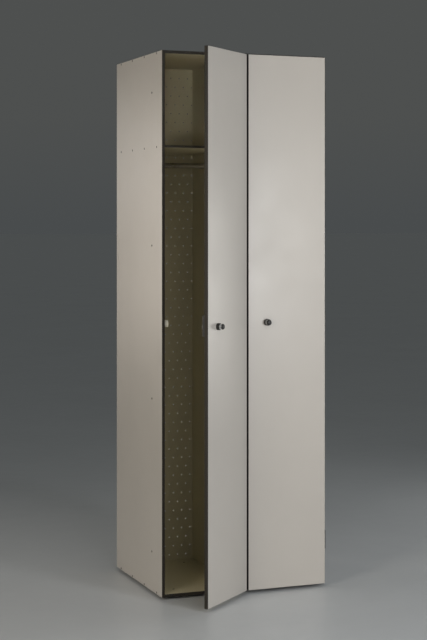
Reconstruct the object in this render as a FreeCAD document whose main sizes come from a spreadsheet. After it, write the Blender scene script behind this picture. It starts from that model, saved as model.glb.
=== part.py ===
import FreeCAD, Part
import Sketcher
import math
import os
from FreeCAD import Vector, Placement, Rotation

# Two-bay locker. +X right, front towards -Y, +Z up, floor at z = 0.
# Each bay is a box of compact-laminate panels with a full-height door hinged on its right edge.
# The left door stands ajar at rest, the right door is shut.

doc = FreeCAD.newDocument("locker_unit")
sheet = doc.addObject("Spreadsheet::Sheet", "dims")

CELLS = [
    ("bay_width", 295.5, "outer width of one bay"),
    ("bay_depth", 490, "depth of the side panels"),
    ("body_height", 1800, "height of the side panels"),
    ("foot_rise", 10, "height of the glides"),
    ("front_y", -143.457, "place of the carcass front plane"),
    ("panel_thick", 10, "sides, top and bottom"),
    ("thin_thick", 8, "shelf"),
    ("back_thick", 4, "perforated back"),
    ("back_inset", 6, "back panel in from the rear edges"),
    ("shelf_drop", 316, "top edge to the middle of the shelf"),
    ("shelf_setback", 2, "shelf front behind the front plane"),
    ("edge_break", 0.5, "chamfer on the panels' and doors' edges"),
    ("door_width", 282.3, "door panel width"),
    ("door_height", 1794.5, "door panel height"),
    ("door_thick", 13, "door panel thickness"),
    ("door_gap", 3.2, "door's inner face in front of the front plane"),
    ("door_free", 5.2, "free edge in from the bay's left side"),
    ("door_low", 1.8, "door's lower edge above the panels' lower edge"),
    ("pivot_side", 3.3, "hinge axis beyond the door's edge"),
    ("pivot_out", 6.7, "hinge axis in front of the front plane"),
    ("left_open", 41.6, "angle of the left door at rest"),
    ("knuckle_rad", 3.0, "hinge knuckle radius"),
    ("pin_rad", 1.5, "hinge pin radius"),
    ("leaf_thick", 1.5, "hinge leaf thickness"),
    ("leaf_tall", 60, "hinge leaf height"),
    ("hinge_low", 160, "lowest hinge centre above the floor"),
    ("hinge_step", 750, "hinge pitch"),
    ("hole_pitch", 32, "perforation pitch"),
    ("hole_dia", 5.0, "perforation diameter"),
    ("row_a", 75, "first row of the main grid below the top edge"),
    ("row_b", 43, "first row of the offset grid below the top edge"),
    ("field_drop", 960, "height of the upper field of perforations"),
    ("field_shift", 6.5, "upper field set to the right of the lower one"),
    ("screw_first", 54.5, "first carcass screw behind the front plane"),
    ("screw_step", 128, "carcass screw pitch"),
    ("join_y", 103, "joining holes behind the front plane"),
    ("join_top", 132, "first joining hole below the top edge"),
    ("join_step", 512, "joining hole pitch"),
    ("join_dia", 8, "joining hole diameter"),
    ("join_play", 0.6, "joining holes of the two inner sides are wider by this, for the sleeves"),
    ("rail_dia", 18, "clothes rail diameter"),
    ("rail_wall", 1.5, "clothes rail wall"),
    ("rail_high", 1440.5, "rail axis above the floor"),
    ("rail_y", 240, "rail axis behind the front plane"),
    ("foot_dia", 40, "glide diameter"),
    ("foot_side", 62, "glide in from the bay's side"),
    ("foot_front", 62, "glide in from front and rear"),
    ("lock_high", 908, "knob axis above the floor"),
    ("keep_high", 910, "middle of the lock keep above the floor"),
    ("lock_side", 66.8, "knob axis in from the door's free edge"),
    ("case_side", 6.3, "lock case in from the free edge"),
    ("case_wide", 77, "lock case width"),
    ("case_tall", 68, "lock case height"),
    ("case_deep", 11, "lock case depth with its cover"),
    ("case_wall", 1.5, "lock case wall"),
    ("bolt_throw", 10, "lock bolt travel"),
    ("head_dia", 18.6, "knob head diameter"),
    ("head_long", 7, "knob head length"),
    ("neck_dia", 9, "knob neck diameter"),
    ("neck_long", 5.2, "knob neck length with its collar"),
    ("collar_dia", 12, "neck collar diameter"),
    ("collar_thick", 1.2, "neck collar thickness"),
    ("rose_dia", 22, "rosette diameter"),
    ("rose_thick", 11.5, "rosette thickness"),
    ("spindle_rad", 4, "spindle radius"),
    ("keep_out", 14.5, "lock keep beyond the wall"),
    ("keep_tall", 22, "lock keep height"),
]
for i, (alias, value, note) in enumerate(CELLS, 1):
    sheet.set("A%d" % i, note)
    sheet.set("B%d" % i, str(value))
    sheet.setAlias("B%d" % i, alias)
doc.recompute()


def v(alias):
    return float(sheet.get(alias))


NODES = []


def node(obj, label):
    obj.Label = label
    NODES.append(obj)
    return obj


def bind(obj, **exprs):
    for prop, ex in exprs.items():
        obj.setExpression(prop.replace("__", "."), ex)


def tidy(name):
    return name.replace("-", "_")


# ---------------------------------------------------------------- shapes of the small hardware
def hexagon(r, depth, z):
    pts = [Vector(r * math.cos(math.radians(60 * k)), r * math.sin(math.radians(60 * k)), z) for k in range(7)]
    return Part.Face(Part.makePolygon(pts)).extrude(Vector(0, 0, -depth))


def screw(head_r, head_d, shank_r, length, socket_r):
    # countersunk screw, flat of the head at z = 0, shank towards -Z, blunt cone point
    tip = shank_r * 1.2
    pts = [Vector(0, 0, 0), Vector(head_r, 0, 0), Vector(head_r, 0, -0.3), Vector(shank_r, 0, -head_d),
           Vector(shank_r, 0, -(length - tip)), Vector(0.4, 0, -length), Vector(0, 0, -length), Vector(0, 0, 0)]
    body = Part.Face(Part.makePolygon(pts)).revolve(Vector(0, 0, 0), Vector(0, 0, 1), 360)
    return body.cut(hexagon(socket_r, min(head_d, 1.6), 0))


def screw_room(head_r, head_d, shank_r, length, ease=0.06):
    # the hole that such a screw goes into
    hr, sr = head_r + ease, shank_r + ease
    pts = [Vector(0, 0, 0.5), Vector(hr, 0, 0.5), Vector(hr, 0, -0.3 - ease), Vector(sr, 0, -head_d - ease),
           Vector(sr, 0, -(length + 0.4)), Vector(0, 0, -(length + 0.4)), Vector(0, 0, 0.5)]
    return Part.Face(Part.makePolygon(pts)).revolve(Vector(0, 0, 0), Vector(0, 0, 1), 360)


def put(shape, at, direction):
    # copy of a shape made along Z, moved so that its +Z points along direction
    s = shape.copy()
    s.Placement = Placement(at, Rotation(Vector(0, 0, 1), direction))
    return s


BIG = dict(head_r=3.9, head_d=2.2, shank_r=2.0, length=34.0)
SMALL = dict(head_r=3.0, head_d=1.5, shank_r=1.5, length=9.0)
big_screw, big_room = screw(socket_r=1.5, **BIG), screw_room(**BIG)
small_screw, small_room = screw(socket_r=1.1, **SMALL), screw_room(**SMALL)


def group(name, shapes):
    obj = doc.addObject("Part::Feature", tidy(name))
    obj.Shape = Part.makeCompound(shapes)
    return node(obj, name)


def feature(name, shape):
    obj = doc.addObject("Part::Feature", tidy(name))
    obj.Shape = shape
    return obj


def panel(name, L, W, H, x, y, z, cutters=None):
    # a sheet with broken edges, bound to the table, with its drillings taken out
    box = doc.addObject("Part::Box", tidy(name) + "_sheet")
    bind(box, Length=L, Width=W, Height=H, Placement__Base__x=x, Placement__Base__y=y, Placement__Base__z=z)
    doc.recompute()
    ch = doc.addObject("Part::Chamfer", tidy(name) + "_edges")
    ch.Base = box
    ch.Edges = [(k + 1, v("edge_break"), v("edge_break")) for k in range(12)]
    doc.recompute()
    if not cutters:
        return node(ch, name)
    tool = feature(name + "_drill", Part.makeCompound(cutters))
    cut = doc.addObject("Part::Cut", tidy(name) + "_part")
    cut.Base, cut.Tool = ch, tool
    doc.recompute()
    return node(cut, name)


# ---------------------------------------------------------------- sketched bodies
def plane(body, role):
    return [o for o in body.Origin.OriginFeatures if o.Role == role][0]


def sketch_on(body, name, role="XY_Plane", up=0.0):
    sk = body.newObject("Sketcher::SketchObject", name)
    sk.AttachmentSupport = [(plane(body, role), "")]
    sk.MapMode = "FlatFace"
    if up:
        sk.AttachmentOffset = Placement(Vector(0, 0, up), Rotation())
    return sk


def add_rect(sk, x, y, w, h, w_ex, h_ex, x_ex=None, y_ex=None):
    # closed rectangle with its lower left corner set from the sketch origin
    n = sk.GeometryCount
    P = [Vector(x, y, 0), Vector(x + w, y, 0), Vector(x + w, y + h, 0), Vector(x, y + h, 0)]
    for k in range(4):
        sk.addGeometry(Part.LineSegment(P[k], P[(k + 1) % 4]), False)
    C = Sketcher.Constraint
    for k in range(4):
        sk.addConstraint(C("Coincident", n + k, 2, n + (k + 1) % 4, 1))
    for k, kind in ((0, "Horizontal"), (1, "Vertical"), (2, "Horizontal"), (3, "Vertical")):
        sk.addConstraint(C(kind, n + k))
    for kind, a, val, ex in (("DistanceX", "w", w, w_ex), ("DistanceY", "h", h, h_ex)):
        g = n if kind == "DistanceX" else n + 1
        i = sk.addConstraint(C(kind, g, 1, g, 2, val))
        sk.renameConstraint(i, "%s%d" % (a, n))
        sk.setExpression("Constraints.%s%d" % (a, n), ex)
    for kind, a, val, ex in (("DistanceX", "x", x, x_ex), ("DistanceY", "y", y, y_ex)):
        if abs(val) < 1e-9 and not ex:
            on = -2 if kind == "DistanceX" else -1
            sk.addConstraint(C("PointOnObject", n, 1, on))
        else:
            i = sk.addConstraint(C(kind, -1, 1, n, 1, val))
            if ex:
                sk.renameConstraint(i, "%s%d" % (a, n))
                sk.setExpression("Constraints.%s%d" % (a, n), ex)


def add_circle(sk, x, y, r, r_ex=None, x_ex=None, y_ex=None):
    n = sk.addGeometry(Part.Circle(Vector(x, y, 0), Vector(0, 0, 1), r), False)
    C = Sketcher.Constraint
    for kind, val, ex, key in (("DistanceX", x, x_ex, "cx"), ("DistanceY", y, y_ex, "cy")):
        if abs(val) < 1e-9 and not ex:
            sk.addConstraint(C("PointOnObject", n, 3, -2 if kind == "DistanceX" else -1))
        else:
            i = sk.addConstraint(C(kind, -1, 1, n, 3, val))
            if ex:
                sk.renameConstraint(i, "%s%d" % (key, n))
                sk.setExpression("Constraints.%s%d" % (key, n), ex)
    i = sk.addConstraint(C("Radius", n, r))
    if r_ex:
        sk.renameConstraint(i, "r%d" % n)
        sk.setExpression("Constraints.r%d" % n, r_ex)


def pad(body, sk, name, length, ex=None, reverse=False):
    p = body.newObject("PartDesign::Pad", name)
    p.Profile = sk
    p.Length = length
    if ex:
        p.setExpression("Length", ex)
    p.Reversed = reverse
    doc.recompute()
    return p


def pocket(body, sk, name, length=None, reverse=False, ex=None):
    before = body.Shape.Volume
    p = body.newObject("PartDesign::Pocket", name)
    p.Profile = sk
    if length is None:
        p.Type = 1
        p.Midplane = True
    else:
        p.Length = length
        if ex:
            p.setExpression("Length", ex)
    p.Reversed = reverse
    doc.recompute()
    if body.Shape.Volume >= before - 1e-6:
        raise RuntimeError("pocket %s cut nothing" % name)
    return p


def revolved(name, profile, names):
    # solid of revolution about Z from (radius, height) points; the named sizes follow the table
    body = doc.addObject("PartDesign::Body", tidy(name))
    sk = sketch_on(body, tidy(name) + "_profile", "XZ_Plane")
    n = len(profile)
    for k in range(n):
        (r0, z0), (r1, z1) = profile[k], profile[(k + 1) % n]
        sk.addGeometry(Part.LineSegment(Vector(r0, z0, 0), Vector(r1, z1, 0)), False)
    C = Sketcher.Constraint
    for k in range(n):
        sk.addConstraint(C("Coincident", k, 2, (k + 1) % n, 1))
    for k, (r, z) in enumerate(profile):
        for kind, val, key in (("DistanceX", r, "r"), ("DistanceY", z, "z")):
            if abs(val) < 1e-9:
                sk.addConstraint(C("PointOnObject", k, 1, -2 if kind == "DistanceX" else -1))
            else:
                i = sk.addConstraint(C(kind, -1, 1, k, 1, val))
                ex = names.get((key, k))
                if ex:
                    sk.renameConstraint(i, "%s%d" % (key, k))
                    sk.setExpression("Constraints.%s%d" % (key, k), ex)
    rev = body.newObject("PartDesign::Revolution", tidy(name) + "_turned")
    rev.Profile = sk
    rev.ReferenceAxis = (sk, ["V_Axis"])
    rev.Angle = 360
    doc.recompute()
    return body


# ---------------------------------------------------------------- one bay
T = v("panel_thick")
BW, BD, BH, FR, FY = v("bay_width"), v("bay_depth"), v("body_height"), v("foot_rise"), v("front_y")
TOPZ = FR + BH
SHELF_Z = TOPZ - v("shelf_drop")
screw_y = [FY + v("screw_first") + v("screw_step") * k for k in range(4)]
screw_z = [TOPZ - T / 2, SHELF_Z, FR + T / 2]
join_z = [TOPZ - v("join_top") - v("join_step") * k for k in range(4)]
hinge_z = [v("hinge_low") + v("hinge_step") * k for k in range(3)]
X, Y, Z = Vector(1, 0, 0), Vector(0, 1, 0), Vector(0, 0, 1)
PX = v("door_free") + v("door_width") + v("pivot_side")     # hinge axis in the bay, from its left side
PY = FY - v("pivot_out")
KEEP_Z = v("keep_high")


def bay(side, x0, x0_ex, angle):
    wall_in_l, wall_in_r = x0 + T, x0 + BW - T

    # --- carcass screws, heads flush in the outer faces of both sides
    spots = []
    for z in screw_z:
        for y in screw_y:
            spots.append((Vector(x0, y, z), -X))
            spots.append((Vector(x0 + BW, y, z), X))
    rooms = [put(big_room, a, d) for a, d in spots]
    group("carcass_screws_" + side, [put(big_screw, a, d) for a, d in spots])
    left_rooms = [r for r, (a, d) in zip(rooms, spots) if d.x < 0]
    right_rooms = [r for r, (a, d) in zip(rooms, spots) if d.x > 0]

    # --- fitting screws: rail sockets and lock keep
    fit = []
    ry, rz = FY + v("rail_y"), v("rail_high")
    for dz in (-15.0, 15.0):
        fit.append((Vector(wall_in_l + 2.5, ry, rz + dz), X))
        fit.append((Vector(wall_in_r - 2.5, ry, rz + dz), -X))
    for dz in (-6.5, 6.5):
        fit.append((Vector(wall_in_l + 4.0, FY + 26.0, KEEP_Z + dz), X))
    fit_rooms = [put(small_room, a, d) for a, d in fit]
    group("fitting_screws_" + side, [put(small_screw, a, d) for a, d in fit])

    # --- screws of the hinges' wall leaves
    hs = []
    for hz in hinge_z:
        for dz in (-19.0, 19.0):
            hs.append((Vector(wall_in_r - v("leaf_thick"), FY + 18.0, hz + dz), -X))
    hs_rooms = [put(small_room, a, d) for a, d in hs]
    group("hinge_wall_screws_" + side, [put(small_screw, a, d) for a, d in hs])

    # --- the sides, with screw seats and the row of joining holes
    wide = (v("join_dia") + v("join_play")) / 2
    rad_l, rad_r = (v("join_dia") / 2, wide) if side == "left" else (wide, v("join_dia") / 2)
    jl = [Part.makeCylinder(rad_l, T + 2, Vector(x0 - 1, FY + v("join_y"), z), X) for z in join_z]
    jr = [Part.makeCylinder(rad_r, T + 2, Vector(x0 + BW - T - 1, FY + v("join_y"), z), X) for z in join_z]
    names = {"left": ("outer_side_left", "inner_side_left"), "right": ("inner_side_right", "outer_side_right")}[side]
    panel(names[0], "dims.panel_thick", "dims.bay_depth", "dims.body_height", x0_ex, "dims.front_y", "dims.foot_rise",
          left_rooms + jl + [r for r, (a, d) in zip(fit_rooms, fit) if d.x > 0])
    panel(names[1], "dims.panel_thick", "dims.bay_depth", "dims.body_height",
          x0_ex + " + dims.bay_width - dims.panel_thick", "dims.front_y", "dims.foot_rise",
          right_rooms + jr + [r for r, (a, d) in zip(fit_rooms, fit) if d.x < 0] + hs_rooms)

    # --- top, bottom and shelf between the sides
    inner_w = "dims.bay_width - 2 * dims.panel_thick"
    inner_x = x0_ex + " + dims.panel_thick"
    row = lambda z: [r for r, (a, d) in zip(rooms, spots) if abs(a.z - z) < 1e-6]
    panel("top_" + side, inner_w, "dims.bay_depth", "dims.panel_thick", inner_x, "dims.front_y",
          "dims.foot_rise + dims.body_height - dims.panel_thick", row(screw_z[0]))
    foot_xy = [(x0 + fx, FY + fy) for fx in (v("foot_side"), BW - v("foot_side"))
               for fy in (v("foot_front"), BD - v("foot_front"))]
    stems = [Part.makeCylinder(4.0, T + 2, Vector(fx, fy, FR - 1)) for fx, fy in foot_xy]
    panel("bottom_" + side, inner_w, "dims.bay_depth", "dims.panel_thick", inner_x, "dims.front_y", "dims.foot_rise",
          row(screw_z[2]) + stems)
    panel("shelf_" + side, inner_w, "dims.bay_depth - dims.back_inset - dims.back_thick - dims.shelf_setback",
          "dims.thin_thick", inner_x, "dims.front_y + dims.shelf_setback",
          "dims.foot_rise + dims.body_height - dims.shelf_drop - dims.thin_thick / 2", row(screw_z[1]))

    # --- perforated back: two staggered grids of holes, the upper field set a little to the right
    pitch, r = v("hole_pitch"), v("hole_dia") / 2
    bx0, bx1, bz0, bz1 = wall_in_l, wall_in_r, FR + T, TOPZ - T
    by1 = FY + BD - v("back_inset")
    mid = x0 + BW / 2
    outer = Part.makePolygon([Vector(bx0, by1, bz0), Vector(bx1, by1, bz0), Vector(bx1, by1, bz1),
                              Vector(bx0, by1, bz1), Vector(bx0, by1, bz0)])
    wires = [outer]
    for first, shift in ((v("row_a"), 0.0), (v("row_b"), pitch / 2)):
        z = TOPZ - first
        while z > bz0 + 6:
            for k in range(-6, 7):
                x = mid + shift + pitch * k
                if z > TOPZ - v("field_drop"):
                    x += v("field_shift")
                if bx0 + r + 0.6 < x < bx1 - r - 0.6:
                    wires.append(Part.Wire(Part.makeCircle(r, Vector(x, by1, z), Y)))
            z -= 2 * pitch
    sheet_face = Part.makeFace(wires, "Part::FaceMakerBullseye")
    plate = sheet_face.extrude(Vector(0, -v("back_thick"), 0))
    if len(plate.Solids) == 1:
        plate = plate.Solids[0]
    node(feature("back_" + side, plate), "back_" + side)

    # --- clothes rail and its sockets
    outer_c = doc.addObject("Part::Cylinder", "rail_outer_" + side)
    inner_c = doc.addObject("Part::Cylinder", "rail_bore_" + side)
    for c, rad in ((outer_c, "dims.rail_dia / 2"), (inner_c, "dims.rail_dia / 2 - dims.rail_wall")):
        bind(c, Radius=rad, Height="dims.bay_width - 2 * dims.panel_thick - 4")
        c.Placement = Placement(Vector(wall_in_l + 2.0, ry, rz), Rotation(Z, X))
    rail = doc.addObject("Part::Cut", "rail_" + side)
    rail.Base, rail.Tool = outer_c, inner_c
    node(rail, "rail_" + side)
    cups = []
    for at, d in ((Vector(wall_in_l, ry, rz), X), (Vector(wall_in_r, ry, rz), -X)):
        cup = Part.makeCylinder(20.0, 2.5).fuse(Part.makeCylinder(12.0, 12.0)).removeSplitter()
        cup = cup.cut(Part.makeCylinder(v("rail_dia") / 2, 20.0, Vector(0, 0, 2.0)))
        cup = put(cup, at, d)
        for rr, (a, dd) in zip(fit_rooms, fit):
            if dd == d and abs(a.z - rz) < 20:
                cup = cup.cut(rr)
        cups.append(cup)
    group("rail_sockets_" + side, cups)

    # --- glides with their stems
    prof = [(0, 0), (v("foot_dia") / 2 - 1.5, 0), (v("foot_dia") / 2, 1.5), (v("foot_dia") / 2, FR - 1.0),
            (v("foot_dia") / 2 - 1.0, FR), (4.0, FR), (4.0, FR + T - 1.0), (0, FR + T - 1.0)]
    pts = [Vector(a, 0, b) for a, b in prof]
    glide = Part.Face(Part.makePolygon(pts + pts[:1])).revolve(Vector(0, 0, 0), Z, 360)
    group("feet_" + side, [glide.translated(Vector(fx, fy, 0)) for fx, fy in foot_xy])

    # --- keep: slotted block with a screw flange on the left wall
    body = doc.addObject("PartDesign::Body", "lock_keep_body_" + side)
    sk = sketch_on(body, "keep_profile_" + side)
    add_rect(sk, 0, 0, v("keep_out"), 11.5, "dims.keep_out", "11.5")
    pad(body, sk, "keep_block_" + side, v("keep_tall"), "dims.keep_tall")
    sk = sketch_on(body, "keep_flange_profile_" + side)
    add_rect(sk, 0, 11.5, 4.0, 10.0, "4", "10", None, "11.5")
    pad(body, sk, "keep_flange_" + side, v("keep_tall"), "dims.keep_tall")
    sk = sketch_on(body, "keep_slot_profile_" + side, up=v("keep_tall"))
    add_rect(sk, 4.0, 3.5, v("keep_out"), 4.5, "dims.keep_out", "4.5", "4", "3.5")
    pocket(body, sk, "keep_slot_" + side, v("keep_tall"), ex="dims.keep_tall")
    body.Placement = Placement(Vector(wall_in_l, FY + 9.0, KEEP_Z - v("keep_tall") / 2), Rotation())
    doc.recompute()
    keep_tool = feature("keep_drill_" + side, Part.makeCompound([r for r, (a, d) in zip(fit_rooms, fit) if abs(a.z - rz) > 100]))
    kc = doc.addObject("Part::Cut", "lock_keep_part_" + side)
    kc.Base, kc.Tool = body, keep_tool
    doc.recompute()
    node(kc, "lock_keep_" + side)

    # --- bumpers on the front edges of top and bottom
    bumps = [Part.makeCone(3.0, 2.4, 2.7, Vector(x0 + 34.0, FY, z), -Y) for z in (TOPZ - T + 3.4, FR + 6.0)]
    group("door_bumpers_" + side, bumps)

    # --- hinges: wall leaves (angled, two knuckles), pins, door leaves (one knuckle)
    kr, pr, lt, lh = v("knuckle_rad"), v("pin_rad"), v("leaf_thick"), v("leaf_tall")
    px = x0 + PX
    third = lh / 3
    leaves, pins = [], []
    for hz in hinge_z:
        zb = hz - lh / 2
        leaf = Part.makeBox(px + kr - (wall_in_r - lt), lt, lh, Vector(wall_in_r - lt, FY - lt, zb))
        leaf = leaf.fuse(Part.makeBox(lt, 28.0 + lt, lh, Vector(wall_in_r - lt, FY - lt, zb)))
        for k in (0, 2):
            tall = third - 0.4
            z0 = zb if k == 0 else zb + 2 * third + 0.4
            leaf = leaf.fuse(Part.makeCylinder(kr, tall, Vector(px, PY, z0)))
            leaf = leaf.fuse(Part.makeBox(1.5, v("pivot_out"), tall, Vector(px + kr - 1.5, PY, z0)))
        leaf = leaf.cut(Part.makeCylinder(pr, lh + 2, Vector(px, PY, zb - 1)))
        for rr, (a, d) in zip(hs_rooms, hs):
            if abs(a.z - hz) < lh / 2:
                leaf = leaf.cut(rr)
        leaves.append(leaf.removeSplitter())
        pin = Part.makeCylinder(pr, lh, Vector(px, PY, zb))
        for zz, up in ((zb + lh, 1), (zb, -1)):
            cap = Part.makeCone(kr - 0.6, kr - 1.1, 1.2, Vector(px, PY, zz), Vector(0, 0, up))
            pin = pin.fuse(cap)
        pins.append(pin.removeSplitter())
    group("hinge_wall_leaves_" + side, leaves)
    group("hinge_pins_" + side, pins)

    # ------------------------------------------------------------ pieces on the door
    # door frame: x from the free edge, y up from the door's lower edge, z out from its inner face
    door_in = Vector(x0 + v("door_free"), FY - v("door_gap"), FR + v("door_low"))
    swing = Placement(Vector(px, PY, 0), Rotation(Z, angle)).multiply(Placement(Vector(-px, -PY, 0), Rotation()))
    on_door = swing.multiply(Placement(door_in, Rotation(X, 90)))
    dw, dh, dt = v("door_width"), v("door_height"), v("door_thick")
    lx, ly = v("lock_side"), v("lock_high") - FR - v("door_low")
    cs, cw, ct, cd, wl = v("case_side"), v("case_wide"), v("case_tall"), v("case_deep"), v("case_wall")
    cy0 = ly + 4.0 - ct / 2

    # screws of the door leaves and of the lock
    ds = []
    for hz in hinge_z:
        for dz in (-19.0, 19.0):
            ds.append(Vector(dw - 25.0, hz + dz - FR - v("door_low"), -v("leaf_thick")))
    ds_rooms = [put(small_room, a, -Z) for a in ds]
    g = group("hinge_door_screws_" + side, [put(small_screw, a, -Z) for a in ds])
    g.Placement = on_door
    ls = [Vector(cs + ex, cy0 + ey, -cd) for ex in (6.0, cw - 6.0) for ey in (6.0, ct - 6.0)]
    LONG = dict(head_r=3.0, head_d=1.5, shank_r=1.5, length=19.0)
    long_screw, long_room = screw(socket_r=1.1, **LONG), screw_room(**LONG)
    ls_rooms = [put(long_room, a, -Z) for a in ls]
    g = group("lock_screws_" + side, [put(long_screw, a, -Z) for a in ls])
    g.Placement = on_door

    # door panel
    body = doc.addObject("PartDesign::Body", "door_body_" + side)
    sk = sketch_on(body, "door_outline_" + side)
    add_rect(sk, 0, 0, dw, dh, "dims.door_width", "dims.door_height")
    p = pad(body, sk, "door_sheet_" + side, dt, "dims.door_thick")
    ch = body.newObject("PartDesign::Chamfer", "door_edges_" + side)
    ch.Base = (p, ["Face%d" % (k + 1) for k in range(6)])
    ch.Size = v("edge_break")
    ch.setExpression("Size", "dims.edge_break")
    doc.recompute()
    sk = sketch_on(body, "door_bore_" + side)
    add_circle(sk, lx, ly, v("spindle_rad") + 0.05, "dims.spindle_rad + 0.05", "dims.lock_side",
               "dims.lock_high - dims.foot_rise - dims.door_low")
    pocket(body, sk, "door_spindle_hole_" + side)
    tool = feature("door_drill_" + side, Part.makeCompound(ds_rooms + ls_rooms))
    cut = doc.addObject("Part::Cut", "door_part_" + side)
    cut.Base, cut.Tool = body, tool
    doc.recompute()
    cut.Placement = on_door
    node(cut, "door_" + side)

    # door leaves of the hinges
    dl = []
    axis_x, axis_z = dw + v("pivot_side"), v("pivot_out") - v("door_gap")
    for hz in hinge_z:
        yb = hz - lh / 2 - FR - v("door_low")
        leaf = Part.makeBox(35.5, lh, lt, Vector(dw - 35.5, yb, -lt))
        leaf = leaf.fuse(Part.makeBox(1.8, third - 0.4, lt, Vector(dw, yb + third + 0.2, -lt)))
        leaf = leaf.fuse(Part.makeBox(1.5, third - 0.4, lt + axis_z, Vector(dw + 0.3, yb + third + 0.2, -lt)))
        leaf = leaf.fuse(Part.makeCylinder(kr, third - 0.4, Vector(axis_x, yb + third + 0.2, axis_z), Y))
        leaf = leaf.cut(Part.makeCylinder(pr + 0.05, lh, Vector(axis_x, yb, axis_z), Y))
        for rr, a in zip(ds_rooms, ds):
            if abs(a.y - yb - lh / 2) < lh / 2:
                leaf = leaf.cut(rr)
        dl.append(leaf.removeSplitter())
    g = group("hinge_door_leaves_" + side, dl)
    g.Placement = on_door

    # lock case: open tray with corner posts, spindle hole in its floor
    body = doc.addObject("PartDesign::Body", "lock_case_body_" + side)
    sk = sketch_on(body, "case_outline_" + side)
    add_rect(sk, cs, cy0, cw, ct, "dims.case_wide", "dims.case_tall", "dims.case_side",
             "dims.lock_high - dims.foot_rise - dims.door_low + 4 - dims.case_tall / 2")
    pad(body, sk, "case_block_" + side, cd - wl, "dims.case_deep - dims.case_wall", reverse=True)
    sk = sketch_on(body, "case_room_" + side, up=-(cd - wl))
    add_rect(sk, cs + wl, cy0 + wl, cw - 2 * wl, ct - 2 * wl, "dims.case_wide - 2 * dims.case_wall",
             "dims.case_tall - 2 * dims.case_wall", "dims.case_side + dims.case_wall",
             "dims.lock_high - dims.foot_rise - dims.door_low + 4 - dims.case_tall / 2 + dims.case_wall")
    pocket(body, sk, "case_hollow_" + side, cd - 2 * wl, reverse=True, ex="dims.case_deep - 2 * dims.case_wall")
    sk = sketch_on(body, "case_bore_" + side)
    add_circle(sk, lx, ly, v("spindle_rad") + 0.05, "dims.spindle_rad + 0.05", "dims.lock_side",
               "dims.lock_high - dims.foot_rise - dims.door_low")
    pocket(body, sk, "case_spindle_hole_" + side)
    posts = [Part.makeCylinder(4.2, cd - 2 * wl, Vector(a.x, a.y, -(cd - wl))) for a in ls]
    post_f = feature("case_posts_" + side, Part.makeCompound(posts))
    fu = doc.addObject("Part::Fuse", "lock_case_posts_" + side)
    fu.Base, fu.Tool = body, post_f
    tool = feature("case_drill_" + side, Part.makeCompound(ls_rooms))
    cut = doc.addObject("Part::Cut", "lock_case_part_" + side)
    cut.Base, cut.Tool = fu, tool
    doc.recompute()
    cut.Placement = on_door
    node(cut, "lock_case_" + side)

    # cover with the bolt's slot; the hook of the bolt passes through it
    col0 = 30.8                     # hook's near side from the free edge, bolt drawn back
    body = doc.addObject("PartDesign::Body", "lock_cover_body_" + side)
    sk = sketch_on(body, "cover_outline_" + side, up=-cd)
    add_rect(sk, cs, cy0, cw, ct, "dims.case_wide", "dims.case_tall", "dims.case_side",
             "dims.lock_high - dims.foot_rise - dims.door_low + 4 - dims.case_tall / 2")
    pad(body, sk, "cover_sheet_" + side, wl, "dims.case_wall")
    sk = sketch_on(body, "cover_slot_" + side, up=-cd)
    add_rect(sk, col0 - 10.6, ly - 7.0, 17.2, 14.0, "dims.bolt_throw + 7.2", "14", "20.2",
             "dims.lock_high - dims.foot_rise - dims.door_low - 7")
    pocket(body, sk, "cover_window_" + side)
    tool = feature("cover_drill_" + side, Part.makeCompound(ls_rooms))
    cut = doc.addObject("Part::Cut", "lock_cover_part_" + side)
    cut.Base, cut.Tool = body, tool
    doc.recompute()
    cut.Placement = on_door
    node(cut, "lock_cover_" + side)

    # bolt: plate inside the case, hook that reaches the keep; drawn back at rest
    pin_r, slot_w = 2.0, 4.7
    throw = v("bolt_throw")
    crank = throw / 2 / math.sin(math.radians(45))
    pin_x = lx + throw / 2                      # towards the hinge side when drawn back
    body = doc.addObject("PartDesign::Body", "lock_bolt_body_" + side)
    sk = sketch_on(body, "bolt_outline_" + side, up=-8.0)
    x_a = col0 - 6.0
    add_rect(sk, x_a, ly - 6.0, pin_x + 6.5 - x_a, 18.0, "dims.lock_side + dims.bolt_throw / 2 + 6.5 - 24.8", "18", "24.8",
             "dims.lock_high - dims.foot_rise - dims.door_low - 6")
    pad(body, sk, "bolt_plate_" + side, 3.0)
    sk = sketch_on(body, "bolt_slot_" + side, up=-8.0)
    add_rect(sk, pin_x - slot_w / 2, ly + 2.0, slot_w, 8.2, "4.7", "8.2",
             "dims.lock_side + dims.bolt_throw / 2 - 2.35", "dims.lock_high - dims.foot_rise - dims.door_low + 2")
    pocket(body, sk, "bolt_cam_slot_" + side)
    sk = sketch_on(body, "bolt_column_profile_" + side, up=-8.0)
    add_rect(sk, col0, ly - 6.0, 6.0, 12.0, "6", "12", "30.8", "dims.lock_high - dims.foot_rise - dims.door_low - 6")
    pad(body, sk, "bolt_column_" + side, 11.7, reverse=True)
    sk = sketch_on(body, "bolt_tongue_profile_" + side, up=-19.7)
    add_rect(sk, col0 - 10.0, ly - 6.0, 12.0, 12.0, "12", "12", "20.8",
             "dims.lock_high - dims.foot_rise - dims.door_low - 6")
    pad(body, sk, "bolt_tongue_" + side, 3.5)
    body.Placement = on_door
    doc.recompute()
    node(body, "lock_bolt_" + side)

    # cam: disc on the spindle's square end with the pin that drives the bolt
    cam = Part.makeCylinder(11.0, 2.5, Vector(lx, ly, -4.5))
    cam = cam.fuse(Part.makeCylinder(pin_r, 4.0, Vector(lx + throw / 2, ly + throw / 2, -8.4)))
    cam = cam.cut(Part.makeBox(5.6, 5.6, 4.0, Vector(lx - 2.8, ly - 2.8, -5.5))).removeSplitter()
    cam_f = feature("lock_cam_" + side, cam)
    cam_f.Placement = on_door
    node(cam_f, "lock_cam_" + side)

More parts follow.
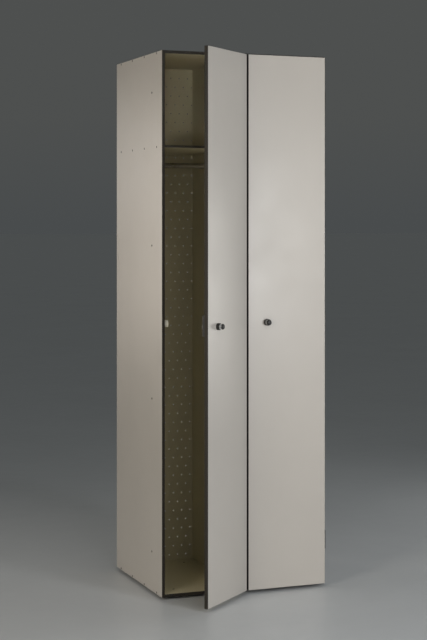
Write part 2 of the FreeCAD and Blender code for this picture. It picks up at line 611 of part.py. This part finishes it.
    # rosette on the door's face
    rt = v("rose_thick")
    rose = revolved("knob_rosette_" + side,
                    [(v("spindle_rad") + 0.05, 0), (v("rose_dia") / 2, 0), (v("rose_dia") / 2, rt - 1.2),
                     (v("rose_dia") / 2 - 1.6, rt), (v("spindle_rad") + 0.05, rt)],
                    {("r", 0): "dims.spindle_rad + 0.05", ("r", 1): "dims.rose_dia / 2", ("r", 2): "dims.rose_dia / 2",
                     ("r", 3): "dims.rose_dia / 2 - 1.6", ("r", 4): "dims.spindle_rad + 0.05",
                     ("z", 3): "dims.rose_thick", ("z", 4): "dims.rose_thick", ("z", 2): "dims.rose_thick - 1.2"})
    rose.Placement = on_door.multiply(Placement(Vector(lx, ly, dt), Rotation()))
    node(rose, "knob_rosette_" + side)

    # spindle with the knob's bright neck and collar; the square end sits in the cam
    sr, nr, nl = v("spindle_rad"), v("neck_dia") / 2, v("neck_long")
    zf = dt + rt + 0.3
    sp = Part.makeCylinder(sr, zf + nl + 4.0 + 1.9, Vector(lx, ly, -1.9))
    sp = sp.fuse(Part.makeCylinder(nr, nl, Vector(lx, ly, zf)))
    sp = sp.fuse(Part.makeCone(v("collar_dia") / 2, v("collar_dia") / 2 - 0.5, v("collar_thick"), Vector(lx, ly, zf)))
    sp = sp.fuse(Part.makeBox(5.6, 5.6, 2.6, Vector(lx - 2.8, ly - 2.8, -4.5))).removeSplitter()
    sp_f = feature("knob_spindle_" + side, sp)
    sp_f.Placement = on_door
    node(sp_f, "knob_spindle_" + side)

    # knob head: turned, with a rounded rim and a domed face
    hr, hl = v("head_dia") / 2, v("head_long")
    head = revolved("knob_head_" + side,
                    [(sr, 0), (hr - 1.4, 0), (hr - 0.4, 0.5), (hr, 1.3), (hr, 2.4), (hr - 0.5, 3.8),
                     (hr - 1.2, hl - 2.1), (hr - 2.2, hl - 1.0), (hr - 4.6, hl - 0.3), (0, hl), (0, 4.0), (sr, 4.0)],
                    {("r", 0): "dims.spindle_rad", ("r", 11): "dims.spindle_rad", ("r", 1): "dims.head_dia / 2 - 1.4",
                     ("r", 2): "dims.head_dia / 2 - 0.4", ("r", 3): "dims.head_dia / 2", ("r", 4): "dims.head_dia / 2",
                     ("r", 5): "dims.head_dia / 2 - 0.5", ("r", 6): "dims.head_dia / 2 - 1.2",
                     ("r", 7): "dims.head_dia / 2 - 2.2", ("r", 8): "dims.head_dia / 2 - 4.6",
                     ("z", 6): "dims.head_long - 2.1", ("z", 7): "dims.head_long - 1.0", ("z", 8): "dims.head_long - 0.3",
                     ("z", 9): "dims.head_long"})
    head.Placement = on_door.multiply(Placement(Vector(lx, ly, zf + nl), Rotation()))
    node(head, "knob_head_" + side)

    axis = on_door.multVec(Vector(lx, ly, dt))
    out = on_door.Rotation.multVec(Z)
    slide = on_door.Rotation.multVec(-X)
    print("%s: hinge axis %.3f %.3f, knob axis at %.3f %.3f %.3f, out %.5f %.5f, bolt way %.5f %.5f" % (
        side, px, PY, axis.x, axis.y, axis.z, out.x, out.y, slide.x, slide.y))


bay("left", -BW, "-dims.bay_width", v("left_open"))
bay("right", 0.0, "0 * dims.bay_width", 0.0)

# ---------------------------------------------------------------- bolts that hold the two bays together
bolts, nuts = [], []
for z in join_z:
    y = FY + v("join_y")
    b = Part.makeCone(7.0, 6.2, 2.0, Vector(-T, y, z), -X).fuse(Part.makeCylinder(3.0, 2 * T - 2.0, Vector(-T, y, z), X))
    b = b.cut(put(hexagon(2.0, 1.4, 0), Vector(-T - 2.0, y, z), -X)).removeSplitter()
    n = Part.makeCone(7.0, 6.2, 2.0, Vector(T, y, z), X).fuse(Part.makeCylinder(v("join_dia") / 2, 2 * T - 0.5, Vector(T, y, z), -X))
    n = n.cut(Part.makeCylinder(3.0, 2 * T, Vector(T - 1.0, y, z), -X))
    n = n.cut(put(hexagon(2.0, 1.4, 0), Vector(T + 2.0, y, z), X)).removeSplitter()
    bolts.append(b)
    nuts.append(n)
group("joining_bolts", bolts)
group("joining_nuts", nuts)

doc.recompute()

# ---------------------------------------------------------------- check and write
for o in doc.Objects:
    if "Invalid" in o.State or "Error" in o.State:
        raise RuntimeError("%s failed: %s" % (o.Name, o.State))
labels = [o.Label for o in NODES]
if len(set(labels)) != len(labels):
    raise RuntimeError("two sub-parts share a label")
box = FreeCAD.BoundBox()
for o in NODES:
    if o.Shape.isNull() or not o.Shape.isValid():
        raise RuntimeError("%s has no valid shape" % o.Label)
    if not o.Shape.Solids:
        raise RuntimeError("%s has no solid" % o.Label)
    box.add(o.Shape.BoundBox)
os.makedirs("parts", exist_ok=True)
for o in NODES:
    o.Shape.exportStep(os.path.join("parts", o.Label + ".step"))
print("%d nodes, box x %.2f %.2f y %.2f %.2f z %.2f %.2f" % (
    len(NODES), box.XMin, box.XMax, box.YMin, box.YMax, box.ZMin, box.ZMax))
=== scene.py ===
import math
import bpy
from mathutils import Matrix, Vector

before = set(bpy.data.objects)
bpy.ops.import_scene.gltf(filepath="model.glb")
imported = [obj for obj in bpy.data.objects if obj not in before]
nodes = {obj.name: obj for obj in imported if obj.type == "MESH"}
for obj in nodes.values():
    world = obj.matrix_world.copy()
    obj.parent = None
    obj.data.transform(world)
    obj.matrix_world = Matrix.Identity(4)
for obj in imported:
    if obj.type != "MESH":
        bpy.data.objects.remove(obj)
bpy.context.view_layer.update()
scene = bpy.context.scene

OPEN = math.radians(41.6)                                  # the left door stands ajar
DOOR_L = (math.sin(OPEN), -math.cos(OPEN), 0.0)            # its outward direction


# ------------------------------------------------------------------ node helpers
class Tree:
    def __init__(self, name):
        self.mat = bpy.data.materials.new(name)
        self.mat.use_nodes = True
        self.nt = self.mat.node_tree
        self.nt.nodes.clear()
        self.out = self.nt.nodes.new("ShaderNodeOutputMaterial")
        self.bsdf = self.nt.nodes.new("ShaderNodeBsdfPrincipled")
        self.nt.links.new(self.bsdf.outputs["BSDF"], self.out.inputs["Surface"])
        self.tc = self.nt.nodes.new("ShaderNodeTexCoord")

    def set(self, **values):
        for key, val in values.items():
            self.bsdf.inputs[key.replace("_", " ")].default_value = val

    def plug(self, source, socket):
        self.nt.links.new(source, self.bsdf.inputs[socket])

    def new(self, kind, **props):
        n = self.nt.nodes.new(kind)
        for k, val in props.items():
            setattr(n, k, val)
        return n

    def feed(self, socket, source):
        if isinstance(source, (int, float)):
            socket.default_value = source
        elif isinstance(source, tuple):
            socket.default_value = source
        else:
            self.nt.links.new(source, socket)

    def math(self, op, a, b=0.0, c=None, clamp=False):
        n = self.new("ShaderNodeMath", operation=op, use_clamp=clamp)
        self.feed(n.inputs[0], a)
        self.feed(n.inputs[1], b)
        if c is not None:
            self.feed(n.inputs[2], c)
        return n.outputs[0]

    def vmath(self, op, a, b):
        n = self.new("ShaderNodeVectorMath", operation=op)
        self.feed(n.inputs[0], a)
        self.feed(n.inputs[1], b)
        return n.outputs["Value"] if op in ("DOT_PRODUCT", "LENGTH", "DISTANCE") else n.outputs[0]

    def place(self, scale=(1, 1, 1), spin=(0, 0, 0), source=None):
        n = self.new("ShaderNodeMapping")
        n.inputs["Scale"].default_value = scale
        n.inputs["Rotation"].default_value = spin
        self.nt.links.new(source or self.tc.outputs["Object"], n.inputs["Vector"])
        return n.outputs[0]

    def noise(self, scale, detail=3.0, rough=0.55, vec=None, distort=0.0):
        n = self.new("ShaderNodeTexNoise")
        n.inputs["Scale"].default_value = scale
        n.inputs["Detail"].default_value = detail
        n.inputs["Roughness"].default_value = rough
        n.inputs["Distortion"].default_value = distort
        self.nt.links.new(vec if vec is not None else self.tc.outputs["Object"], n.inputs["Vector"])
        return n.outputs["Fac"]

    def voronoi(self, scale, feature="F1", vec=None):
        n = self.new("ShaderNodeTexVoronoi", feature=feature)
        n.inputs["Scale"].default_value = scale
        self.nt.links.new(vec if vec is not None else self.tc.outputs["Object"], n.inputs["Vector"])
        return n.outputs["Distance"]

    def ramp(self, fac, stops):
        n = self.new("ShaderNodeValToRGB")
        el = n.color_ramp.elements
        while len(el) < len(stops):
            el.new(0.5)
        for e, (p, c) in zip(el, stops):
            e.position = p
            e.color = (*c, 1.0)
        self.nt.links.new(fac, n.inputs[0])
        return n.outputs["Color"]

    def span(self, fac, lo, hi, from_lo=0.0, from_hi=1.0):
        n = self.new("ShaderNodeMapRange")
        self.nt.links.new(fac, n.inputs["Value"])
        n.inputs["From Min"].default_value = from_lo
        n.inputs["From Max"].default_value = from_hi
        n.inputs["To Min"].default_value = lo
        n.inputs["To Max"].default_value = hi
        return n.outputs["Result"]

    def mix(self, fac, a, b, blend="MIX"):
        n = self.new("ShaderNodeMix", data_type="RGBA", blend_type=blend)
        self.feed(n.inputs[0], fac)
        for sock, val in ((n.inputs[6], a), (n.inputs[7], b)):
            if isinstance(val, tuple) and len(val) == 3:
                val = (*val, 1.0)
            self.feed(sock, val)
        return n.outputs[2]

    def mixf(self, fac, a, b):
        n = self.new("ShaderNodeMix", data_type="FLOAT")
        self.feed(n.inputs[0], fac)
        self.feed(n.inputs[2], a)
        self.feed(n.inputs[3], b)
        return n.outputs[0]

    def bump(self, height, strength, distance, under=None):
        n = self.new("ShaderNodeBump")
        n.inputs["Strength"].default_value = strength
        n.inputs["Distance"].default_value = distance
        self.nt.links.new(height, n.inputs["Height"])
        if under is not None:
            self.nt.links.new(under, n.inputs["Normal"])
        return n.outputs["Normal"]


def wear(node, mat):
    o = nodes[node]
    o.data.materials.clear()
    o.data.materials.append(mat)


# ------------------------------------------------------------------ compact laminate: pale faces, black core at every cut edge
PALE = (0.596, 0.563, 0.520)


def shade(k):
    return tuple(round(c * k, 4) for c in PALE)


def laminate(name, face, seed=0.0, inside=None, cut_black=True):
    # inside: the way that the inner face looks, whose faces get a painted warm tint standing in for bounce light,
    # or a length of 0 where both faces are inner ones
    t = Tree(name)
    shifted = t.new("ShaderNodeVectorMath", operation="ADD")
    t.nt.links.new(t.tc.outputs["Object"], shifted.inputs[0])
    shifted.inputs[1].default_value = (seed, seed * 0.7, seed * 1.3)
    pos = shifted.outputs[0]
    # the decor paper: a faint cloudiness and a fine fleck
    cloud = t.noise(2.1, 4.0, 0.6, pos)
    fleck = t.noise(620.0, 2.0, 0.5, pos)
    tone = t.ramp(cloud, [(0.30, shade(0.965)), (0.70, shade(1.02))])
    tone = t.mix(t.span(fleck, 0.0, 0.16, 0.35, 0.75), tone, shade(0.88))
    # rubbing and dust: large soft patches, a little darker and duller
    rub = t.noise(5.5, 5.0, 0.62, t.place((1.0, 1.0, 0.35), source=pos))
    tone = t.mix(t.span(rub, 0.0, 0.10, 0.48, 0.80), tone, shade(0.80))
    if inside is not None:                                 # inner faces get a painted warm tint that stands in for the warm bounce light inside the bays
        painted_bounce_tint = t.mix(1.0, tone, (1.107, 1.092, 0.865), "MULTIPLY")
        inner = t.math("GREATER_THAN", t.vmath("DOT_PRODUCT", t.tc.outputs["Normal"], inside), 0.5) if any(inside) else 1.0
        tone = t.mix(inner, tone, painted_bounce_tint)
    gloss = t.span(t.noise(9.0, 4.0, 0.6, pos), 0.30, 0.38, 0.3, 0.7)
    pearl = t.noise(1500.0, 2.0, 0.5, pos)
    t.set(IOR=1.49)
    if not cut_black:
        t.plug(tone, "Base Color")
        t.plug(gloss, "Roughness")
        t.plug(t.bump(pearl, 0.10, 0.00025), "Normal")
        return t.mat
    # black core: pressed paper layers that run along the sheet
    depth = t.vmath("DOT_PRODUCT", pos, face)
    layer = t.new("ShaderNodeTexNoise", noise_dimensions="1D")
    layer.inputs["Scale"].default_value = 1900.0
    layer.inputs["Detail"].default_value = 2.0
    t.nt.links.new(depth, layer.inputs["W"])
    chips = t.noise(420.0, 3.0, 0.6, pos)
    core = t.ramp(layer.outputs["Fac"], [(0.25, (0.0135, 0.0108, 0.0075)), (0.75, (0.0265, 0.0215, 0.0150))])
    core = t.mix(t.span(chips, 0.0, 0.35, 0.60, 0.80), core, (0.055, 0.046, 0.034))
    along = t.vmath("DOT_PRODUCT", t.tc.outputs["Normal"], face)
    is_face = t.math("GREATER_THAN", t.math("ABSOLUTE", along), 0.94)
    t.plug(t.mix(is_face, core, tone), "Base Color")
    dull = t.span(chips, 0.50, 0.66, 0.3, 0.7)
    t.plug(t.mixf(is_face, dull, gloss), "Roughness")
    sawn = t.math("ADD", t.math("MULTIPLY", layer.outputs["Fac"], 0.8), t.math("MULTIPLY", chips, 0.6))
    t.plug(t.bump(t.mixf(is_face, sawn, pearl), 0.10, 0.00025), "Normal")
    return t.mat


BOTH = (0.0, 0.0, 0.0)
lam_left = laminate("laminate_left_side", (1.0, 0.0, 0.0), 0.0, (1.0, 0.0, 0.0))
lam_right = laminate("laminate_right_side", (1.0, 0.0, 0.0), 2.3, (-1.0, 0.0, 0.0))
lam_in = laminate("laminate_partitions", (1.0, 0.0, 0.0), 1.7, BOTH)
lam_top = laminate("laminate_tops", (0.0, 0.0, 1.0), 5.7, (0.0, 0.0, -1.0))
lam_floor = laminate("laminate_bottoms", (0.0, 0.0, 1.0), 6.9, (0.0, 0.0, 1.0))
lam_shelf = laminate("laminate_shelves", (0.0, 0.0, 1.0), 4.4, BOTH)
back_mat = laminate("perforated_sheet", (0.0, 1.0, 0.0), 3.1, (0.0, -1.0, 0.0), cut_black=False)
lam_dr = laminate("laminate_door_right", (0.0, 1.0, 0.0), 8.3)
lam_dl = laminate("laminate_door_left", DOOR_L, 11.9)


# ------------------------------------------------------------------ metals, plastics, rubber
def metal(name, lo, hi, r_lo, r_hi, grain=None, metallic=1.0, fine=900.0):
    t = Tree(name)
    vec = t.place(grain) if grain else None
    streak = t.noise(fine, 3.0, 0.55, vec)
    patch = t.noise(38.0, 4.0, 0.6)
    t.plug(t.mix(t.span(patch, 0.0, 0.5, 0.3, 0.7), t.ramp(streak, [(0.3, lo), (0.7, hi)]), lo), "Base Color")
    t.plug(t.math("ADD", t.span(streak, r_lo, r_hi, 0.3, 0.7), t.span(patch, -0.04, 0.05, 0.3, 0.7)), "Roughness")
    t.plug(t.bump(streak, 0.08, 0.0001), "Normal")
    t.set(Metallic=metallic)
    return t.mat


def coated(name, lo, hi, r_lo, r_hi, scale=1600.0, depth=0.00015, strength=0.25):
    t = Tree(name)
    peel = t.voronoi(scale)
    patch = t.noise(30.0, 4.0, 0.6)
    t.plug(t.ramp(patch, [(0.3, lo), (0.7, hi)]), "Base Color")
    t.plug(t.span(t.noise(240.0, 3.0, 0.6), r_lo, r_hi, 0.3, 0.7), "Roughness")
    t.plug(t.bump(peel, strength, depth), "Normal")
    return t.mat


def rosette(name, out):
    # black turned rim, satin face with fine turning marks
    t = Tree(name)
    patch = t.noise(60.0, 4.0, 0.6)
    fine = t.noise(1700.0, 3.0, 0.55)
    front = t.math("GREATER_THAN", t.vmath("DOT_PRODUCT", t.tc.outputs["Normal"], out), 0.9)
    rim = t.ramp(patch, [(0.3, (0.012, 0.012, 0.012)), (0.7, (0.019, 0.019, 0.0185))])
    satin = t.ramp(fine, [(0.3, (0.56, 0.555, 0.543)), (0.7, (0.68, 0.675, 0.662))])
    t.plug(t.mix(front, rim, satin), "Base Color")
    t.plug(t.mixf(front, t.span(patch, 0.38, 0.48, 0.3, 0.7), t.span(fine, 0.44, 0.56, 0.3, 0.7)), "Roughness")
    t.plug(t.bump(fine, 0.10, 0.0001), "Normal")
    return t.mat


screw_black = metal("blackened_screw", (0.020, 0.020, 0.021), (0.045, 0.044, 0.043), 0.38, 0.52, metallic=0.75)
zinc = metal("zinc_screw", (0.40, 0.40, 0.39), (0.56, 0.56, 0.55), 0.28, 0.42)
rail_mat = metal("satin_rail", (0.26, 0.255, 0.245), (0.37, 0.365, 0.35), 0.24, 0.34, grain=(0.05, 1.0, 1.0))
socket_mat = coated("socket_lacquer", (0.035, 0.034, 0.032), (0.055, 0.053, 0.050), 0.36, 0.50)
hinge_mat = coated("hinge_powder_coat", (0.016, 0.0155, 0.0145), (0.026, 0.025, 0.0235), 0.45, 0.60, 1300.0)
pin_mat = metal("hinge_pin", (0.06, 0.06, 0.06), (0.11, 0.11, 0.11), 0.30, 0.42)
case_mat = coated("lock_lacquer", (0.028, 0.027, 0.026), (0.042, 0.041, 0.039), 0.30, 0.42)
bolt_mat = metal("bolt_steel", (0.36, 0.36, 0.35), (0.50, 0.50, 0.49), 0.26, 0.40, grain=(1.0, 1.0, 0.08))
neck_mat = metal("neck_steel", (0.60, 0.60, 0.59), (0.76, 0.76, 0.75), 0.30, 0.42, grain=(1.0, 1.0, 1.0))
knob_mat = coated("knob_black", (0.011, 0.011, 0.011), (0.018, 0.018, 0.0175), 0.42, 0.52, 2200.0, 0.00006, 0.2)
foot_mat = coated("glide_plastic", (0.014, 0.014, 0.014), (0.024, 0.024, 0.023), 0.48, 0.62, 1100.0)
rubber_mat = coated("bumper_rubber", (0.012, 0.012, 0.012), (0.020, 0.020, 0.020), 0.62, 0.78, 900.0)
keep_mat = coated("keep_plastic", (0.83, 0.79, 0.67), (0.89, 0.85, 0.73), 0.34, 0.46, 700.0, 0.0001, 0.15)

for s in ("left", "right"):
    wear("outer_side_" + s, lam_left if s == "left" else lam_right)
    wear("inner_side_" + s, lam_in)
    wear("back_" + s, back_mat)
    wear("top_" + s, lam_top)
    wear("bottom_" + s, lam_floor)
    wear("shelf_" + s, lam_shelf)
    wear("carcass_screws_" + s, screw_black)
    for n in ("fitting_screws_", "hinge_wall_screws_", "hinge_door_screws_", "lock_screws_"):
        wear(n + s, zinc)
    wear("rail_" + s, rail_mat)
    wear("rail_sockets_" + s, socket_mat)
    wear("hinge_wall_leaves_" + s, hinge_mat)
    wear("hinge_door_leaves_" + s, hinge_mat)
    wear("hinge_pins_" + s, pin_mat)
    wear("lock_case_" + s, case_mat)
    wear("lock_cover_" + s, case_mat)
    wear("lock_bolt_" + s, bolt_mat)
    wear("lock_cam_" + s, bolt_mat)
    wear("knob_spindle_" + s, neck_mat)
    wear("knob_head_" + s, knob_mat)
    wear("knob_rosette_" + s, rosette("rosette_" + s, DOOR_L if s == "left" else (0.0, -1.0, 0.0)))
    wear("feet_" + s, foot_mat)
    wear("door_bumpers_" + s, rubber_mat)
    wear("lock_keep_" + s, keep_mat)
wear("door_left", lam_dl)
wear("door_right", lam_dr)
wear("joining_bolts", zinc)
wear("joining_nuts", zinc)

# ------------------------------------------------------------------ floor, light, camera
bpy.ops.mesh.primitive_plane_add(size=400.0, location=(0, 0, 0))
floor = bpy.context.object
floor.name = "floor"
t = Tree("floor_paint")
t.plug(t.ramp(t.noise(1.4, 5.0, 0.6), [(0.3, (0.578, 0.604, 0.630)), (0.7, (0.610, 0.638, 0.664))]), "Base Color")
t.plug(t.span(t.noise(12.0, 4.0, 0.6), 0.38, 0.48, 0.3, 0.7), "Roughness")
floor.data.materials.append(t.mat)

world = bpy.data.worlds.new("studio")
scene.world = world
world.use_nodes = True
bg = world.node_tree.nodes["Background"]
bg.inputs["Strength"].default_value = 1.0
# a soft backdrop: as dark as the far floor at the horizon, lighter above it, lightest overhead
wt = world.node_tree
up = wt.nodes.new("ShaderNodeSeparateXYZ")
sky = wt.nodes.new("ShaderNodeValToRGB")
wt.links.new(wt.nodes.new("ShaderNodeTexCoord").outputs["Generated"], up.inputs[0])
wt.links.new(up.outputs["Z"], sky.inputs[0])
wt.links.new(sky.outputs["Color"], bg.inputs["Color"])
stops = [(0.0, (0.0668, 0.0725, 0.0745)), (0.07, (0.0757, 0.0795, 0.0780)), (0.35, (0.0793, 0.0830, 0.0813)), (0.60, (0.1146, 0.1200, 0.1176))]
while len(sky.color_ramp.elements) < len(stops):
    sky.color_ramp.elements.new(0.5)
for e, (at, tint) in zip(sky.color_ramp.elements, stops):
    e.position = at
    e.color = (*tint, 1.0)


def area(name, loc, target, size, size_y, power, color=(1, 1, 1), spread=180.0):
    data = bpy.data.lights.new(name, "AREA")
    data.shape = "RECTANGLE"
    data.size, data.size_y = size, size_y
    data.energy = power
    data.color = color
    data.spread = math.radians(spread)
    o = bpy.data.objects.new(name, data)
    scene.collection.objects.link(o)
    o.location = loc
    o.rotation_euler = (Vector(target) - Vector(loc)).to_track_quat("-Z", "Y").to_euler()


area("rear_left_softbox", (-2.2, 3.0, 1.2), (-0.3, 0.1, 1.0), 1.0, 1.2, 3.30, (1.0, 0.908, 0.812), 70.0)
area("rear_high_softbox", (-1.2, 3.0, 1.60), (-0.3, 0.1, 1.25), 0.6, 0.6, 0.035, (1.0, 0.983, 0.98), 36.0)
area("left_softbox", (-2.4, -1.8, 1.2), (-0.2, -0.2, 0.95), 1.0, 1.2, 25.4, (1.0, 0.900, 0.757))
area("front_left_softbox", (-1.4, -3.4, 1.3), (-0.1, -0.2, 0.95), 1.2, 1.2, 2.35)
area("front_right_softbox", (1.0, -2.87, 1.08), (0.1, -0.15, 1.0), 0.5, 0.9, 27.2)
area("right_softbox", (2.8, 0.25, 0.92), (-0.2, -0.33, 0.98), 1.3, 0.9, 12.8, (1.0, 0.978, 0.930))
area("high_softbox", (-0.2, -3.2, 3.0), (0.0, -0.15, 1.0), 1.6, 1.2, 18.0)
area("shelf_fill", (-1.35, -3.0, 1.15), (-0.22, 0.1, 1.80), 0.3, 0.3, 0.082, (1.0, 0.963, 0.90), 14.0)

cam_data = bpy.data.cameras.new("camera")
cam = bpy.data.objects.new("camera", cam_data)
scene.collection.objects.link(cam)
cam.location = (-1.9511, -4.86907, 1.2354)
cam.rotation_euler = (math.radians(90.0), 0.0, math.radians(-21.242))
cam_data.sensor_width = 36.0
cam_data.lens = 1523.4 / 640.0 * 36.0
cam_data.shift_y = (224.86 - 320.0) / 640.0
cam_data.clip_end = 500.0
cam_data.dof.use_dof = False
scene.camera = cam

scene.view_settings.view_transform = "Standard"
scene.view_settings.look = "None"
